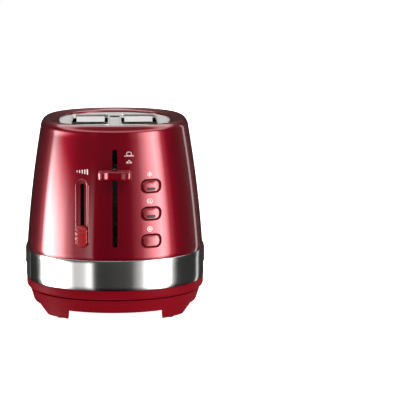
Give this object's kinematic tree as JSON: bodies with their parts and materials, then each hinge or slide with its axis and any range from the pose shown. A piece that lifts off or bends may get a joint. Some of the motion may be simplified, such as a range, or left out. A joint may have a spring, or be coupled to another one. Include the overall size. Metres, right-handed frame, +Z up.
{
  "type": "pop-up toaster",
  "caption": "Two-slot pop-up toaster with tapered gloss housing, steel waist band, lever carriage, browning slider, push buttons and crumb tray.",
  "frame": {"origin": "on the table, at the middle of the whole footprint, lever and tray pull included, which is 6 mm in front of the middle of the body", "axes": "+Z up; the lever and controls face -Y; +X to the right seen from the lever end; the bread slots run along Y"},
  "size_m": [0.1906, 0.3198, 0.1995],
  "materials": {
    "red_lacquer": "deep red metallic lacquer, high gloss",
    "red_moulding": "deep red gloss",
    "deck_steel": "satin",
    "band_steel": "brushed round the body",
    "black_plastic": "fine matte",
    "lens": "smoked translucent",
    "foot_rubber": "matte",
    "chassis_steel": "galvanised sheet",
    "plated_wire": "bright plated wire",
    "spring_steel": "polished",
    "magnet_iron": "plated",
    "coil_copper": "enamelled copper winding",
    "mica": "mica sheet",
    "ribbon_alloy": "oxidised heating ribbon",
    "circuit_board": "green solder mask",
    "component_black": "moulded",
    "terminal_white": "moulded",
    "rail_plastic": "moulded"
  },
  "bodies": {
    "toaster_body": {"base": "red_moulding", "board_posts": "component_black", "board_screws": "chassis_steel", "button_surrounds": "black_plastic", "button_switches": "component_black", "carriage_spring": "spring_steel", "centre_reflector": "chassis_steel", "control_board": "circuit_board", "cord_inlet": "black_plastic", "foot_pads": "foot_rubber", "front_chassis_plate": "chassis_steel", "guide_rods": "chassis_steel", "heat_shield_left": "chassis_steel", "heat_shield_right": "chassis_steel", "heater_board_left_inner": "mica", "heater_board_left_outer": "mica", "heater_board_right_inner": "mica", "heater_board_right_outer": "mica", "heater_ribbon_left_inner": "ribbon_alloy", "heater_ribbon_left_outer": "ribbon_alloy", "heater_ribbon_right_inner": "ribbon_alloy", "heater_ribbon_right_outer": "ribbon_alloy", "latch_magnet_coil": "coil_copper", "latch_magnet_core": "magnet_iron", "lifting_lip_left": "red_moulding", "lifting_lip_right": "red_moulding", "mains_switch": "black_plastic", "outer_housing": "red_lacquer", "rear_chassis_plate": "chassis_steel", "side_grip_left": "black_plastic", "side_grip_right": "black_plastic", "slider_potentiometer": "component_black", "slider_surround": "red_moulding", "spring_bracket": "chassis_steel", "steel_band": "band_steel", "terminal_block": "terminal_white", "top_deck": "deck_steel", "tray_rails": "rail_plastic"},
    "carriage": {"carriage": "chassis_steel", "armature_plate": "chassis_steel", "lever_knob": "red_moulding", "bread_rack_left": "plated_wire", "bread_rack_right": "plated_wire"},
    "browning_control": {"browning_knob": "red_moulding"},
    "defrost_key": {"defrost_button": "red_moulding", "defrost_indicator_lens": "lens"},
    "reheat_key": {"reheat_button": "red_moulding", "reheat_indicator_lens": "lens"},
    "cancel_key": {"cancel_button": "red_moulding"},
    "crumb_tray": {"crumb_tray": "chassis_steel", "crumb_tray_handle": "black_plastic"},
    "guide_left_outer": {"bread_guide_left_outer": "plated_wire"},
    "guide_left_inner": {"bread_guide_left_inner": "plated_wire"},
    "guide_right_inner": {"bread_guide_right_inner": "plated_wire"},
    "guide_right_outer": {"bread_guide_right_outer": "plated_wire"}
  },
  "joints": [
    {"name": "lever_slide", "type": "slide", "parent": "toaster_body", "child": "carriage", "axis": [0, 0, 1], "range_m": [-0.062, 0.018], "stiffness_N_per_m": 40, "deforming": ["carriage_spring"]},
    {"name": "browning_slide", "type": "slide", "parent": "toaster_body", "child": "browning_control", "axis": [0, 0.108, 0.9942], "range_m": [0, 0.042]},
    {"name": "defrost_press", "type": "slide", "parent": "toaster_body", "child": "defrost_key", "axis": [0, 1, 0], "range_m": [0, 0.0025], "stiffness_N_per_m": 400},
    {"name": "reheat_press", "type": "slide", "parent": "toaster_body", "child": "reheat_key", "axis": [0, 1, 0], "range_m": [0, 0.0025], "stiffness_N_per_m": 400},
    {"name": "cancel_press", "type": "slide", "parent": "toaster_body", "child": "cancel_key", "axis": [0, 1, 0], "range_m": [0, 0.0025], "stiffness_N_per_m": 400},
    {"name": "tray_slide", "type": "slide", "parent": "toaster_body", "child": "crumb_tray", "axis": [0, 1, 0], "range_m": [0, 0.19]},
    {"name": "guide_left_outer_slide", "type": "slide", "parent": "toaster_body", "child": "guide_left_outer", "axis": [1, 0, 0], "range_m": [-0.0018, 0.0062]},
    {"name": "guide_left_inner_slide", "type": "slide", "parent": "toaster_body", "child": "guide_left_inner", "axis": [-1, 0, 0], "range_m": [-0.0018, 0.0062]},
    {"name": "guide_right_inner_slide", "type": "slide", "parent": "toaster_body", "child": "guide_right_inner", "axis": [1, 0, 0], "range_m": [-0.0018, 0.0062]},
    {"name": "guide_right_outer_slide", "type": "slide", "parent": "toaster_body", "child": "guide_right_outer", "axis": [-1, 0, 0], "range_m": [-0.0018, 0.0062]}
  ],
  "couplings": [
    {"joint": "guide_left_outer_slide", "follows": "lever_slide", "ratio": -0.1},
    {"joint": "guide_left_inner_slide", "follows": "lever_slide", "ratio": -0.1},
    {"joint": "guide_right_inner_slide", "follows": "lever_slide", "ratio": -0.1},
    {"joint": "guide_right_outer_slide", "follows": "lever_slide", "ratio": -0.1}
  ]
}
